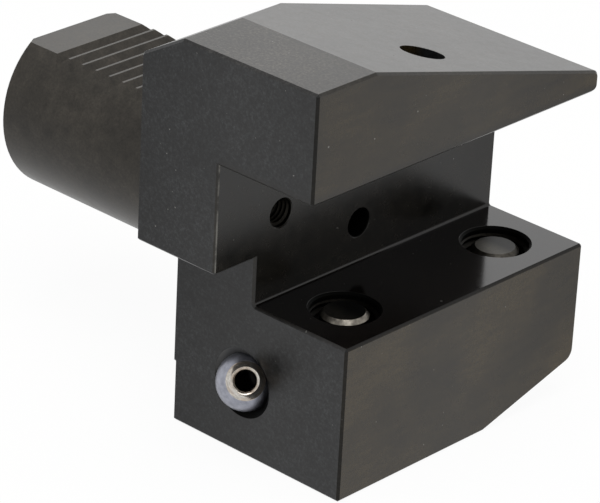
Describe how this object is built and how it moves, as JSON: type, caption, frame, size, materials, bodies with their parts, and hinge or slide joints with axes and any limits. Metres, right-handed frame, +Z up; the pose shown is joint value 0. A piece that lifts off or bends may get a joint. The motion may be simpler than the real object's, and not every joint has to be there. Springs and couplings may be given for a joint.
{
  "type": "vdi tool holder",
  "caption": "Turning tool holder with a toothed cylindrical shank, a transverse square tool slot clamped from below, and a swivelling coolant nozzle.",
  "frame": {"origin": "where the shank's axis meets the flange's rear face", "axes": "+X along the shank's axis towards the tool slot, +Y along the tool slot towards the thin end of the upper jaw, +Z up, from the clamp screws towards the upper jaw"},
  "size_m": [0.1095, 0.084, 0.0902],
  "materials": {
    "blackened_steel": "ground steel with a black oxide finish",
    "screw_steel": "black oxide set screw, its point worn bright",
    "zinc_plated_steel": "smooth blue-bright zinc plate",
    "stainless_steel": "turned stainless steel",
    "seal_rubber": "smooth black nitrile rubber"
  },
  "bodies": {
    "holder": {"holder_body": "blackened_steel", "flange_seal": "seal_rubber", "nozzle_seal": "seal_rubber"},
    "left_screw": {"clamp_screw_left": "screw_steel"},
    "right_screw": {"clamp_screw_right": "screw_steel"},
    "nozzle": {"nozzle_ball": "zinc_plated_steel", "nozzle_tube": "stainless_steel"}
  },
  "joints": [
    {"name": "left_screw_travel", "type": "slide", "parent": "holder", "child": "left_screw", "axis": [0, 0, 1], "range_m": [-0.003, 0.009]},
    {"name": "right_screw_travel", "type": "slide", "parent": "holder", "child": "right_screw", "axis": [0, 0, 1], "range_m": [-0.003, 0.009]},
    {"name": "nozzle_swivel", "type": "hinge", "parent": "holder", "child": "nozzle", "pos_m": [0.01945, -0.029, -0.02665], "axis": [0, 0, 1], "range_deg": [-80, 0]}
  ]
}
